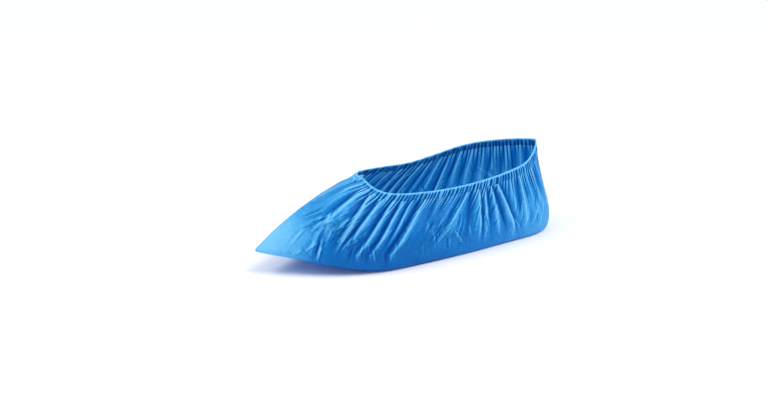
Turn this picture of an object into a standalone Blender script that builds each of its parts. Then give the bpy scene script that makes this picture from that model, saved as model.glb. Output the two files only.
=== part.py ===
"""A disposable film shoe cover, in the shape it takes when worn over a low shoe.

The cover is a folded film bag. A welded seam closes it at the toe and another at the heel,
and the hem round its opening is turned over an elastic band that gathers it.
+Z is up, the toe points to -Y, the outer side of the left foot is +X, and the sole stands on
Z = 0 with the origin under the middle of the cover. All sizes are in metres.
"""

import bmesh
import bpy
import numpy as np

# Outer shape of the film bag
BAG_LENGTH = 0.333
BAG_WIDTH = 0.111
TIP_LIFT = 0.022
BELLY_HEIGHT = 0.018
SOLE_EDGE_ROUND = 0.005

# Opening, measured along the film at the top of the hem
OPENING_LENGTH = 0.2029
OPENING_WIDTH = 0.074
OPENING_HEEL_SETBACK = 0.016
TOE_RIM_HEIGHT = 0.0775
HEEL_RIM_HEIGHT = 0.0945
RIM_DROP = 0.0205

# Walls, hem, elastic, seams and the gap left between pieces
FILM_WALL = 0.0013
HEM_WALL = 0.0011
HEM_DEPTH = 0.0088
ELASTIC_WIDTH = 0.0022
SEAM_THICKNESS = 0.0012
SEAM_STAND = 0.0012
TAB_STAND = 0.002
CLEARANCE = 0.0003

# Gathers of the hem and folds of the walls
GATHERS_PER_SIDE = 43
GATHER_DEPTH = 0.0007
GATHER_FADE = 0.014
FOLD_HEIGHT = 0.0032
FOLD_VALLEY = 0.7
VALLEY_BEHIND = 1.5
SEAM_CALM = 0.035
NARROWEST_MITRE = 0.35

# Fineness of the meshes
COLUMNS_PER_GATHER = 2
WALL_ROWS = (0.14, 0.3, 0.47, 0.64, 0.81, 1.0)
EDGE_TURNS = (0.55, 1.0)
SOLE_ROWS = 4

# Sole outline: place along the length from the toe tip, half widths, how much of the tip's
# lift is left, height of the widest line, and how far the wall still flares out there.
SOLE_TABLE = [
    dict(along=0.000, outer=0.00, inner=0.00, lift=1.00, belly=0.16, flare=0.75),
    dict(along=0.030, outer=0.12, inner=0.12, lift=0.90, belly=0.20, flare=0.65),
    dict(along=0.070, outer=0.28, inner=0.27, lift=0.80, belly=0.30, flare=0.55),
    dict(along=0.115, outer=0.49, inner=0.48, lift=0.68, belly=0.47, flare=0.40),
    dict(along=0.165, outer=0.66, inner=0.68, lift=0.48, belly=0.65, flare=0.25),
    dict(along=0.230, outer=0.84, inner=0.89, lift=0.25, belly=0.85, flare=0.12),
    dict(along=0.300, outer=0.96, inner=0.99, lift=0.08, belly=1.00, flare=0.05),
    dict(along=0.370, outer=1.00, inner=1.00, lift=0.00, belly=1.00, flare=0.00),
    dict(along=0.500, outer=0.97, inner=0.91, lift=0.00, belly=1.00, flare=0.00),
    dict(along=0.640, outer=0.90, inner=0.84, lift=0.00, belly=1.00, flare=0.00),
    dict(along=0.780, outer=0.79, inner=0.76, lift=0.00, belly=1.00, flare=0.00),
    dict(along=0.890, outer=0.69, inner=0.67, lift=0.00, belly=0.90, flare=0.00),
    dict(along=0.955, outer=0.51, inner=0.50, lift=0.00, belly=0.80, flare=0.05),
    dict(along=0.988, outer=0.27, inner=0.26, lift=0.00, belly=0.75, flare=0.10),
    dict(along=1.000, outer=0.00, inner=0.00, lift=0.00, belly=0.75, flare=0.12),
]

# Top of the hem: place along the opening from the toe seam, half widths, how far each side
# drops below the line from toe to heel, and how far the film leaves the hem sideways.
RIM_TABLE = [
    dict(along=0.00, outer=0.00, inner=0.00, outer_drop=0.00, inner_drop=0.00, shoulder=0.95),
    dict(along=0.00, outer=0.28, inner=0.28, outer_drop=0.08, inner_drop=0.00, shoulder=0.92),
    dict(along=0.01, outer=0.55, inner=0.55, outer_drop=0.20, inner_drop=0.02, shoulder=0.86),
    dict(along=0.04, outer=0.80, inner=0.78, outer_drop=0.32, inner_drop=0.05, shoulder=0.76),
    dict(along=0.10, outer=0.92, inner=0.90, outer_drop=0.45, inner_drop=0.12, shoulder=0.64),
    dict(along=0.20, outer=0.98, inner=0.96, outer_drop=0.59, inner_drop=0.22, shoulder=0.54),
    dict(along=0.34, outer=1.00, inner=0.97, outer_drop=0.73, inner_drop=0.32, shoulder=0.42),
    dict(along=0.49, outer=1.00, inner=0.96, outer_drop=0.78, inner_drop=0.20, shoulder=0.36),
    dict(along=0.62, outer=0.97, inner=0.94, outer_drop=0.75, inner_drop=0.05, shoulder=0.32),
    dict(along=0.73, outer=0.87, inner=0.88, outer_drop=0.71, inner_drop=0.00, shoulder=0.28),
    dict(along=0.84, outer=0.66, inner=0.70, outer_drop=0.70, inner_drop=0.00, shoulder=0.24),
    dict(along=0.92, outer=0.42, inner=0.46, outer_drop=0.52, inner_drop=0.00, shoulder=0.22),
    dict(along=0.98, outer=0.16, inner=0.18, outer_drop=0.20, inner_drop=0.00, shoulder=0.20),
    dict(along=1.00, outer=0.00, inner=0.00, outer_drop=0.00, inner_drop=0.00, shoulder=0.20),
]

# Where the columns of film that start round the rim end on the sole outline
FAN_TABLE = [
    dict(rim=0.00, sole=0.00),
    dict(rim=0.12, sole=0.19),
    dict(rim=0.28, sole=0.33),
    dict(rim=0.46, sole=0.47),
    dict(rim=0.62, sole=0.65),
    dict(rim=0.80, sole=0.83),
    dict(rim=1.00, sole=1.00),
]

# Folds that run down from the hem: place round the rim from the toe seam, how far the fold
# drifts towards the heel by the sole, half width, height, and how far down the wall it runs.
OUTER_FOLDS = [
    dict(at=0.045, drift=0.00, half_width=0.015, height=0.60, reach=0.75),
    dict(at=0.080, drift=0.00, half_width=0.014, height=0.90, reach=0.62),
    dict(at=0.114, drift=0.00, half_width=0.014, height=1.00, reach=0.66),
    dict(at=0.148, drift=0.00, half_width=0.015, height=0.95, reach=0.80),
    dict(at=0.182, drift=0.00, half_width=0.015, height=1.05, reach=0.92),
    dict(at=0.216, drift=0.00, half_width=0.014, height=1.00, reach=0.95),
    dict(at=0.250, drift=0.00, half_width=0.014, height=0.75, reach=0.90),
    dict(at=0.295, drift=-0.01, half_width=0.016, height=1.40, reach=1.00),
    dict(at=0.345, drift=-0.02, half_width=0.016, height=0.60, reach=0.85),
    dict(at=0.400, drift=-0.03, half_width=0.017, height=0.50, reach=0.70),
    dict(at=0.466, drift=-0.07, half_width=0.019, height=1.05, reach=0.95),
    dict(at=0.534, drift=0.02, half_width=0.016, height=0.80, reach=0.60),
    dict(at=0.580, drift=0.03, half_width=0.015, height=0.70, reach=0.62),
    dict(at=0.625, drift=0.03, half_width=0.015, height=1.10, reach=0.74),
    dict(at=0.682, drift=0.02, half_width=0.015, height=0.85, reach=0.66),
    dict(at=0.739, drift=0.01, half_width=0.016, height=0.95, reach=0.78),
    dict(at=0.807, drift=0.01, half_width=0.016, height=0.70, reach=0.70),
    dict(at=0.875, drift=0.00, half_width=0.016, height=0.80, reach=0.72),
    dict(at=0.932, drift=0.00, half_width=0.016, height=0.50, reach=0.60),
]
INNER_FOLDS = [
    dict(at=0.057, drift=0.00, half_width=0.015, height=0.70, reach=0.70),
    dict(at=0.102, drift=0.00, half_width=0.015, height=0.90, reach=0.66),
    dict(at=0.148, drift=0.00, half_width=0.015, height=1.00, reach=0.78),
    dict(at=0.193, drift=0.00, half_width=0.016, height=1.10, reach=0.90),
    dict(at=0.239, drift=-0.01, half_width=0.015, height=0.90, reach=0.88),
    dict(at=0.284, drift=-0.01, half_width=0.016, height=1.20, reach=0.98),
    dict(at=0.341, drift=-0.02, half_width=0.016, height=0.80, reach=0.85),
    dict(at=0.409, drift=-0.03, half_width=0.017, height=0.95, reach=0.90),
    dict(at=0.477, drift=-0.04, half_width=0.017, height=0.75, reach=0.80),
    dict(at=0.545, drift=0.01, half_width=0.016, height=0.85, reach=0.66),
    dict(at=0.614, drift=0.02, half_width=0.016, height=0.95, reach=0.72),
    dict(at=0.682, drift=0.02, half_width=0.016, height=0.90, reach=0.76),
    dict(at=0.761, drift=0.02, half_width=0.016, height=0.80, reach=0.70),
    dict(at=0.841, drift=0.01, half_width=0.016, height=0.85, reach=0.74),
    dict(at=0.920, drift=0.00, half_width=0.016, height=0.60, reach=0.64),
]

# Finishes of the film, the hem, the elastic and the welds
FILM_BLUE = (0.02, 0.30, 0.80, 1.0)
HEM_BLUE = (0.05, 0.38, 0.86, 1.0)
ELASTIC_BLUE = (0.18, 0.60, 0.95, 1.0)
SEAM_BLUE = (0.01, 0.24, 0.70, 1.0)
FILM_ROUGHNESS = 0.4
ELASTIC_ROUGHNESS = 0.6

OUTER, INNER = 1, -1
COLUMNS = GATHERS_PER_SIDE * COLUMNS_PER_GATHER
FOLD_TABLES = {OUTER: OUTER_FOLDS, INNER: INNER_FOLDS}
SIDE_NAMES = {OUTER: "outer", INNER: "inner"}
UP = np.array([0.0, 0.0, 1.0])

# Under the top of the hem come its own wall, the elastic, and then the film's edge
ELASTIC_TOP = HEM_WALL + CLEARANCE
FILM_TOP = ELASTIC_TOP + ELASTIC_WIDTH + CLEARANCE
FILM_BELOW_HEM = HEM_DEPTH + CLEARANCE


def clear_scene():
    for thing in list(bpy.data.objects):
        bpy.data.objects.remove(thing)


def finish(name, colour, roughness):
    made = bpy.data.materials.new(name)
    made.use_nodes = True
    shader = made.node_tree.nodes["Principled BSDF"]
    shader.inputs["Base Color"].default_value = colour
    shader.inputs["Roughness"].default_value = roughness
    shader.inputs["Metallic"].default_value = 0.0
    return made


def unit(vectors):
    return vectors / np.maximum(np.linalg.norm(vectors, axis=-1, keepdims=True), 1e-12)


def smooth_rise(share):
    """0 below 0, 1 above 1, and a smooth rise between."""
    held = np.clip(share, 0.0, 1.0)
    return held * held * (3 - 2 * held)


def curve_through(rows, steps_between=24):
    """A Catmull-Rom curve through the rows, whose first and last stretch run on straight."""
    rows = np.asarray(rows, float)
    held = np.vstack([2 * rows[0] - rows[1], rows, 2 * rows[-1] - rows[-2]])
    share = np.arange(steps_between)[:, None] / steps_between
    stretches = []
    for before, start, end, after in zip(held, held[1:], held[2:], held[3:]):
        stretches.append(
            start
            + share * (end - before) / 2
            + share**2 * (2 * before - 5 * start + 4 * end - after) / 2
            + share**3 * (3 * start - before - 3 * end + after) / 2
        )
    return np.vstack([*stretches, rows[-1:]])


def spread_along(curve, shares):
    """Reads the curve at these shares of its length, which its first three values measure."""
    steps = np.linalg.norm(np.diff(curve[:, :3], axis=0), axis=1)
    run = np.concatenate([[0.0], np.cumsum(steps)])
    return np.column_stack([np.interp(shares * run[-1], run, column) for column in curve.T])


def rim_line(side, shares):
    """Points on the top of the hem and, as a fourth value, how far the film leaves sideways."""
    name = SIDE_NAMES[side]
    back = BAG_LENGTH / 2 - OPENING_HEEL_SETBACK
    rows = []
    for row in RIM_TABLE:
        line = TOE_RIM_HEIGHT + (HEEL_RIM_HEIGHT - TOE_RIM_HEIGHT) * row["along"]
        rows.append(
            [
                side * row[name] * OPENING_WIDTH / 2,
                back - OPENING_LENGTH * (1 - row["along"]),
                line - row[name + "_drop"] * RIM_DROP,
                row["shoulder"],
            ]
        )
    return spread_along(curve_through(rows), shares)


def sole_line(side, shares):
    """Points on the sole's outline with their lift, then belly height and flare."""
    name = SIDE_NAMES[side]
    rows = []
    for row in SOLE_TABLE:
        rows.append(
            [
                side * row[name] * BAG_WIDTH / 2,
                BAG_LENGTH * (row["along"] - 0.5),
                row["lift"] * TIP_LIFT,
                row["belly"] * BELLY_HEIGHT,
                row["flare"],
            ]
        )
    fan = curve_through([[row["rim"], row["sole"]] for row in FAN_TABLE])
    line = spread_along(curve_through(rows), np.interp(shares, fan[:, 0], fan[:, 1]))
    line[:, 2] = np.maximum(line[:, 2], 0.0)
    return line


def outward_in_plan(points, side):
    """The level direction that points out of the sole's outline."""
    along = np.gradient(points[:, :2], axis=0)
    out = unit(np.column_stack([side * along[:, 1], -side * along[:, 0]]))
    out[0] = (0.0, -1.0)
    out[-1] = (0.0, 1.0)
    return np.column_stack([out, np.zeros(len(out))])


def fold_heights(side, shares, depths):
    """How far the folds push the film out, for each column and each of its depths."""
    pushed = np.zeros_like(depths)
    across = shares[:, None]
    for fold in FOLD_TABLES[side]:
        middle = fold["at"] + fold["drift"] * depths
        away = (across - middle) / fold["half_width"]
        ridge = np.exp(-(away**2)) - FOLD_VALLEY * np.exp(-((away - VALLEY_BEHIND) ** 2))
        swell = 0.35 + 0.65 * smooth_rise(depths / 0.25)
        fade = smooth_rise((fold["reach"] - depths) / 0.35)
        pushed += FOLD_HEIGHT * fold["height"] * ridge * swell * fade
    return pushed * smooth_rise(across / SEAM_CALM) * smooth_rise((1 - across) / SEAM_CALM)


class Side:
    """One side of the cover: columns of film that run from the rim down to the sole."""

    def __init__(self, side):
        self.side = side
        self.shares = np.linspace(0.0, 1.0, COLUMNS + 1)
        self.rim = rim_line(side, self.shares)
        self.sole = sole_line(side, self.shares)
        self.out = outward_in_plan(self.sole, side)
        self.belly = self.sole[:, :3] + self.sole[:, 3:4] * UP
        run = self.belly - self.rim[:, :3]
        self.reach = np.linalg.norm(run, axis=1)
        self.ahead = unit(run * (1.0, 1.0, 0.0))
        self.below_hem = (FILM_BELOW_HEM / self.reach)[:, None]
        self.top = self.rim[:, :3]
        self.down = unit(self.smooth_face(self.below_hem)[:, 0] - self.top)
        self.hem_out = self.normals(self.down, self.top)
        turn = np.where(np.arange(len(self.shares)) % COLUMNS_PER_GATHER == 0, -1.0, 1.0)
        turn[:2] = turn[-2:] = 0.0
        self.gathers = GATHER_DEPTH * turn[:, None]
        self.hem_push = fold_heights(side, self.shares, self.below_hem) + self.gathers

    def normals(self, down, points):
        """The outward directions, which stay in the middle plane at both ends."""
        out = np.cross(down, np.gradient(points, axis=0)) * self.side
        for end, turn in ((0, -1.0), (-1, 1.0)):
            out[end, ..., 0] = 0.0
            out[end, ..., 1] = -turn * down[end, ..., 2]
            out[end, ..., 2] = turn * down[end, ..., 1]
        return unit(out)

    def smooth_face(self, depths):
        """The unfolded film at these shares of the way down each column."""
        start, end = self.rim[:, None, :3], self.belly[:, None]
        ahead, reach = self.ahead[:, None], self.reach[:, None, None]
        shoulder, flare = self.rim[:, 3][:, None, None], self.sole[:, 4][:, None, None]
        leave = reach * (shoulder * ahead - np.sqrt(1 - shoulder**2) * UP)
        arrive = reach * (flare * ahead - np.sqrt(1 - flare**2) * UP)
        s = depths[:, :, None]
        return (
            (2 * s**3 - 3 * s**2 + 1) * start
            + (s**3 - 2 * s**2 + s) * leave
            + (3 * s**2 - 2 * s**3) * end
            + (s**3 - s**2) * arrive
        )

    def face(self, depths, offset=0.0):
        """The film's outer face with its folds, moved out of itself by this offset."""
        smooth = self.smooth_face(depths)
        step = 0.01
        down = self.smooth_face(depths + step) - self.smooth_face(depths - step)
        past_hem = (depths - self.below_hem) * self.reach[:, None]
        pushed = fold_heights(self.side, self.shares, depths)
        pushed += self.gathers * (1 - smooth_rise(past_hem / GATHER_FADE))
        return smooth + (pushed[:, :, None] + offset) * self.normals(down, smooth)

    def in_hem(self, drop, offset=0.0):
        """The straight stretch of film in the hem, at this distance under the hem's top."""
        return self.top + drop * self.down + (self.hem_push + offset) * self.hem_out

    def wall_depths(self):
        """Depths of the wall's rows under the hem."""
        return self.below_hem + (1 - self.below_hem) * np.array(WALL_ROWS)

    def wall(self, offset=0.0):
        """The film from its edge in the hem down to the belly."""
        hem = [self.in_hem(drop, offset) for drop in (FILM_TOP, FILM_BELOW_HEM)]
        return np.concatenate([np.stack(hem, axis=1), self.face(self.wall_depths(), offset)], axis=1)

    def sole_edge(self):
        """The rounded turn from the belly to the sole, a row for each of EDGE_TURNS."""
        rows = []
        for turn in EDGE_TURNS:
            angle = turn * np.pi / 2
            inset = SOLE_EDGE_ROUND * (1 - np.cos(angle)) * self.sole[:, 3:4] / BELLY_HEIGHT
            height = self.sole[:, 3:4] * (1 - np.sin(angle))
            rows.append(self.sole[:, :3] - self.out * inset + UP * height)
        return np.stack(rows, axis=1)

    def outer_skin(self):
        return np.concatenate([self.wall(), self.sole_edge()], axis=1)

    def inner_skin(self):
        """The inside of the film, which keeps to its own side where the toe narrows."""
        inset = SOLE_EDGE_ROUND * self.sole[:, 3:4] / BELLY_HEIGHT + FILM_WALL
        floor = self.sole[:, :3] - self.out * inset + UP * FILM_WALL
        skin = np.concatenate([self.wall(-FILM_WALL), floor[:, None]], axis=1)
        outside = np.concatenate([self.wall(), self.sole[:, None, :3]], axis=1)
        least = 0.3 * np.abs(outside[:, :, 0])
        skin[:, :, 0] = self.side * np.maximum(self.side * skin[:, :, 0], least)
        return skin


def mitre_toe(sides, skins):
    """Moves the inside's end at the toe back to where the insides of both walls meet."""
    side = sides[0]
    middle = side.wall()[0]
    straight = side.wall(-1.0)[0] - middle
    across = side.wall(-1.0)[1] - side.wall()[1]
    widened = FILM_WALL / np.clip(np.sum(straight * across, axis=1), NARROWEST_MITRE, 1.0)
    for skin in skins:
        skin[0, :-1] = middle + straight * widened[:, None]
        skin[0, -1] = skin[0, -2]
        skin[0, -1, 2] = TIP_LIFT + FILM_WALL


def add_grid(mesh, grid, flip):
    """Adds the quads of a grid of points to a bmesh."""
    corners = [[mesh.verts.new(point) for point in column] for column in grid]
    for left, right in zip(corners, corners[1:]):
        for a, b, c, d in zip(left, left[1:], right[1:], right):
            mesh.faces.new((a, b, c, d) if flip else (d, c, b, a))


def between(near, far):
    """Rows of points that cross from one line to the other."""
    across = np.linspace(0.0, 1.0, SOLE_ROWS + 1)[None, :, None]
    return near[:, None] * (1 - across) + far[:, None] * across


def add_object(name, mesh, look):
    bmesh.ops.remove_doubles(mesh, verts=mesh.verts, dist=1e-6)
    bmesh.ops.dissolve_degenerate(mesh, edges=mesh.edges, dist=1e-6)
    bmesh.ops.recalc_face_normals(mesh, faces=mesh.faces)
    data = bpy.data.meshes.new(name)
    mesh.to_mesh(data)
    mesh.free()
    data.materials.append(look)
    made = bpy.data.objects.new(name, data)
    bpy.context.scene.collection.objects.link(made)
    return made


def make_film_bag(sides, look):
    """Both walls, the rounded sole edge and the sole, as an outer and an inner skin."""
    mesh = bmesh.new()
    outer = [side.outer_skin() for side in sides]
    inner = [side.inner_skin() for side in sides]
    mitre_toe(sides, inner)
    for skins in (outer, inner):
        for skin in skins:
            add_grid(mesh, skin, flip=True)
        add_grid(mesh, between(skins[0][:, -1], skins[1][:, -1]), flip=True)
    for face, back in zip(outer, inner):
        add_grid(mesh, np.stack([face[:, 0], back[:, 0]], axis=1), flip=True)
    return add_object("film_bag", mesh, look)


def add_ring(mesh, sections):
    """A closed band from the toe seam round both sides, from columns of section corners."""
    loop = np.concatenate([sections[0], sections[1][-2:0:-1]])
    rings = [[mesh.verts.new(point) for point in section] for section in loop]
    for here, there in zip(rings, rings[1:] + rings[:1]):
        for i, corner in enumerate(here):
            following = (i + 1) % len(here)
            mesh.faces.new((corner, here[following], there[following], there[i]))


def ring_object(name, sides, corners, look):
    """A band whose section has these corners: drop under the top of the hem, and offset."""
    mesh = bmesh.new()
    sections = []
    for side in sides:
        lines = [side.in_hem(drop, offset) for drop, offset in corners]
        sections.append(np.stack(lines, axis=1))
    add_ring(mesh, sections)
    return add_object(name, mesh, look)


def make_hem(sides, look):
    """The hem: a channel turned over the elastic and the film's edge, open at its foot."""
    outside = CLEARANCE + HEM_WALL
    inside = -FILM_WALL - CLEARANCE - HEM_WALL
    corners = [
        (HEM_DEPTH, outside),
        (0.0, outside),
        (0.0, inside),
        (HEM_DEPTH, inside),
        (HEM_DEPTH, inside + HEM_WALL),
        (HEM_WALL, inside + HEM_WALL),
        (HEM_WALL, CLEARANCE),
        (HEM_DEPTH, CLEARANCE),
    ]
    return ring_object("gathered_hem", sides, corners, look)


def make_elastic(sides, look):
    """The elastic, in the top of the hem over the film's edge."""
    foot = ELASTIC_TOP + ELASTIC_WIDTH
    corners = [(foot, 0.0), (ELASTIC_TOP, 0.0), (ELASTIC_TOP, -FILM_WALL), (foot, -FILM_WALL)]
    return ring_object("elastic_band", sides, corners, look)


def make_weld(name, base, top, look):
    """A flat fin in the middle plane between two lines of points."""
    mesh = bmesh.new()
    half = np.array([SEAM_THICKNESS / 2, 0.0, 0.0])
    rings = []
    for low, high in zip(base, top):
        corners = (low - half, low + half, high + half, high - half)
        rings.append([mesh.verts.new(point) for point in corners])
    for here, there in zip(rings, rings[1:]):
        for i in range(4):
            following = (i + 1) % 4
            mesh.faces.new((here[i], here[following], there[following], there[i]))
    mesh.faces.new(rings[0])
    mesh.faces.new(rings[-1][::-1])
    return add_object(name, mesh, look)


def seam_lines(side, column, hem_stand):
    """The foot and the top of a weld that runs over the hem and down one end column."""
    gap = CLEARANCE + HEM_WALL + CLEARANCE
    over = [side.in_hem(drop, gap)[column] for drop in (0.0, HEM_DEPTH)]
    foot = side.in_hem(FILM_BELOW_HEM + CLEARANCE, gap)[column]
    along = side.face(side.wall_depths())[column]
    out = side.face(side.wall_depths(), 1.0)[column] - along
    base = np.vstack([*over, foot, along + CLEARANCE * out])
    out = np.vstack([np.tile(side.hem_out[column], (3, 1)), out])
    stand = np.full((len(base), 1), SEAM_STAND)
    stand[:2] = hem_stand
    return base, base + stand * out


def make_parts():
    clear_scene()
    film = finish("blue_film", FILM_BLUE, FILM_ROUGHNESS)
    hem = finish("hem_film", HEM_BLUE, FILM_ROUGHNESS)
    elastic = finish("elastic", ELASTIC_BLUE, ELASTIC_ROUGHNESS)
    weld = finish("weld_film", SEAM_BLUE, FILM_ROUGHNESS)
    sides = [Side(OUTER), Side(INNER)]
    make_film_bag(sides, film)
    make_hem(sides, hem)
    make_elastic(sides, elastic)
    make_weld("toe_seam", *seam_lines(sides[0], 0, TAB_STAND), weld)
    make_weld("heel_seam", *seam_lines(sides[0], -1, SEAM_STAND), weld)


make_parts()
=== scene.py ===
"""The looks of a disposable film shoe cover that is held open in its worn shape.

The film is a thin sheet. Its smooth worn form comes from short tables of named shares. Film
that is too long for the gathered rim stands up in folds: flat panels between the crease lines
of a table, with the puckers of the hem running out into them. All lengths are in metres, unless
a comment says otherwise.
"""

import bmesh
import bpy
import numpy as np
from mathutils import Matrix, Vector


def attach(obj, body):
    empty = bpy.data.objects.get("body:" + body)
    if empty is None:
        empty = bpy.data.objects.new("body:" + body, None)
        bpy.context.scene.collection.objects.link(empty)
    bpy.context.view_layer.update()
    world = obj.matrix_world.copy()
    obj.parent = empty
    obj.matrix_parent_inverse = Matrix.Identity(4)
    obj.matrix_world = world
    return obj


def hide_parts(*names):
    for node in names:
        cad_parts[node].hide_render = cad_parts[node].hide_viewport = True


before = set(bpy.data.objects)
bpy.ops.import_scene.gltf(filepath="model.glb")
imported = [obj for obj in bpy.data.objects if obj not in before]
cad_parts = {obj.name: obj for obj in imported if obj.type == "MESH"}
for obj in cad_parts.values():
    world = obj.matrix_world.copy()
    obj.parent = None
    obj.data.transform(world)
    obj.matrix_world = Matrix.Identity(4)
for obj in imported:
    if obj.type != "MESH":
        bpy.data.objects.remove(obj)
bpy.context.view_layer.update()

MM = 0.001
UP = np.array([0.0, 0.0, 1.0])
OUTER, INNER = 1, -1

# Outer shape of the film bag
BAG_LENGTH = 0.333
BAG_WIDTH = 0.111
TIP_LIFT = 0.022
BELLY_HEIGHT = 0.018
SOLE_EDGE_ROUND = 0.005

# Opening, measured along the film at the top of the hem
OPENING_LENGTH = 0.2029
OPENING_WIDTH = 0.074
OPENING_HEEL_SETBACK = 0.016
TOE_RIM_HEIGHT = 0.0775
HEEL_RIM_HEIGHT = 0.0945
RIM_DROP = 0.0205

# Sole, from the toe tip to the heel, in shares of the bag's sizes: along, outer, inner, lift,
# belly, flare
SOLE_TABLE = [
    (0.000, 0.00, 0.00, 1.00, 0.16, 0.75),
    (0.030, 0.12, 0.12, 0.90, 0.20, 0.65),
    (0.070, 0.28, 0.27, 0.80, 0.30, 0.55),
    (0.115, 0.49, 0.48, 0.68, 0.47, 0.40),
    (0.165, 0.66, 0.68, 0.48, 0.65, 0.25),
    (0.230, 0.84, 0.89, 0.25, 0.85, 0.12),
    (0.300, 0.96, 0.99, 0.08, 1.00, 0.05),
    (0.370, 1.00, 1.00, 0.00, 1.00, 0.00),
    (0.500, 0.97, 0.91, 0.00, 1.00, 0.00),
    (0.640, 0.90, 0.84, 0.00, 1.00, 0.00),
    (0.780, 0.79, 0.76, 0.00, 1.00, 0.00),
    (0.890, 0.69, 0.67, 0.00, 0.90, 0.00),
    (0.955, 0.51, 0.50, 0.00, 0.80, 0.05),
    (0.988, 0.27, 0.26, 0.00, 0.75, 0.10),
    (1.000, 0.00, 0.00, 0.00, 0.75, 0.12),
]

# Rim, from its front to its back, in shares of the opening's sizes: along, outer, inner, outer
# drop, inner drop, shoulder
RIM_TABLE = [
    (0.00, 0.00, 0.00, 0.00, 0.00, 0.95),
    (0.00, 0.28, 0.28, 0.08, 0.00, 0.92),
    (0.01, 0.55, 0.55, 0.20, 0.02, 0.86),
    (0.04, 0.80, 0.78, 0.32, 0.05, 0.76),
    (0.10, 0.92, 0.90, 0.45, 0.12, 0.64),
    (0.20, 0.98, 0.96, 0.59, 0.22, 0.54),
    (0.34, 1.00, 0.97, 0.73, 0.32, 0.42),
    (0.49, 1.00, 0.96, 0.78, 0.20, 0.36),
    (0.62, 0.97, 0.94, 0.75, 0.05, 0.32),
    (0.73, 0.87, 0.88, 0.71, 0.00, 0.28),
    (0.84, 0.66, 0.70, 0.70, 0.00, 0.24),
    (0.92, 0.42, 0.46, 0.52, 0.00, 0.22),
    (0.98, 0.16, 0.18, 0.20, 0.00, 0.20),
    (1.00, 0.00, 0.00, 0.00, 0.00, 0.20),
]

# Which share of the sole's outline lies under which share of the rim: rim, sole
FAN_TABLE = [
    (0.00, 0.00),
    (0.12, 0.19),
    (0.28, 0.33),
    (0.46, 0.47),
    (0.62, 0.65),
    (0.80, 0.83),
    (1.00, 1.00),
]

# The flat film that the cover is welded from
FLAT_LENGTH = 0.41
FLAT_HEIGHT = 0.15

# Fineness of the sheet
GATHERS_PER_SIDE = 62
COLUMNS_PER_GATHER = 8
WALL_ROWS = 70
EDGE_ROWS = 8
EDGE_SHARE = 0.28
SOLE_ROWS = 12

# Seeds of the random numbers
PUCKER_SEEDS = {OUTER: 12, INNER: 10}
CRUMPLE_SEEDS = {OUTER: 36, INNER: 26}
INNER_CREASE_SEED = 18
TOE_WELD_SEED, HEEL_WELD_SEED = 19, 20

# The film is calm beside the seams, over these shares of a side
SEAM_CALM = 0.03
INNER_TOE_CALM = 0.20

# Hem: its depth, where the bag's edge ends in it, and the roll round the elastic thread, with its
# turn in degrees
HEM_DEPTH = 0.0088
BAG_EDGE_DROP = 0.0042
ROLL_RADIUS = 0.75 * MM
ROLL_DROP = 1.0 * MM
THREAD_RADIUS = 0.5 * MM
ROLL_PUCKERS = 0.2
ROLL_START, ROLL_END, ROLL_POINTS = -50, 230, 13
HEM_ROW_STEP = 1.1 * MM

# Legs of the hem: how far they stand off the film, and the drops of their points
LEG_STAND = 0.45 * MM
INNER_LEG_DROPS = (7.0 * MM, 5.4 * MM, 4.0 * MM, 3.0 * MM)
OUTER_LEG_DROPS = (3.0 * MM, 4.0 * MM, 5.2 * MM, 6.4 * MM, 7.6 * MM)

# The points at the legs' free edges: how far they lie above the hem's depth and stand off the
# film. Then the necks of both legs under the roll.
INNER_EDGE = ((0.2 * MM, 0.12 * MM), (0.5 * MM, 0.35 * MM))
OUTER_EDGE = ((0.35 * MM, 0.40 * MM), (0.0 * MM, 0.12 * MM))
NECK_DROP, NECK_PUCKERS = 2.2 * MM, 0.6
INNER_NECK_STAND, OUTER_NECK_STAND = 0.6 * MM, 0.5 * MM

# Puckers of the hem: their height, how far they drift, how unevenly tall and how round they are,
# and how far they run out under the hem, which is less at the heel
PUCKER_HEIGHT = 0.0021
PUCKER_DRIFT = 0.30
PUCKER_TALL = (0.45, 1.25)
PUCKER_ROUND = 0.75
PUCKER_MIDDLE = 0.7
PUCKER_SEAM_CALM = 0.02
RUN_OUT = (0.004, 0.020)
RUN_OUT_FADE = 1.3
HEEL_RUN_OUT_CUT = 0.75
HEEL_RUN_OUT_FROM, HEEL_RUN_OUT_OVER = 0.86, 0.08

# Folds: their height against the table, at the hem and towards the heel, and where they fade
FOLD_SCALE = 1.25
FOLD_AT_HEM = 0.25
FOLD_GROWS_OVER = 0.25
HEEL_CALM = 0.35
HEEL_CALM_FROM, HEEL_CALM_OVER = 0.6, 0.15
FOLD_FADE = 0.42
FOLD_LOWER = 1.16
EDGE_FADE = 0.9
STRAIGHTEN = 0.03

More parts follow.
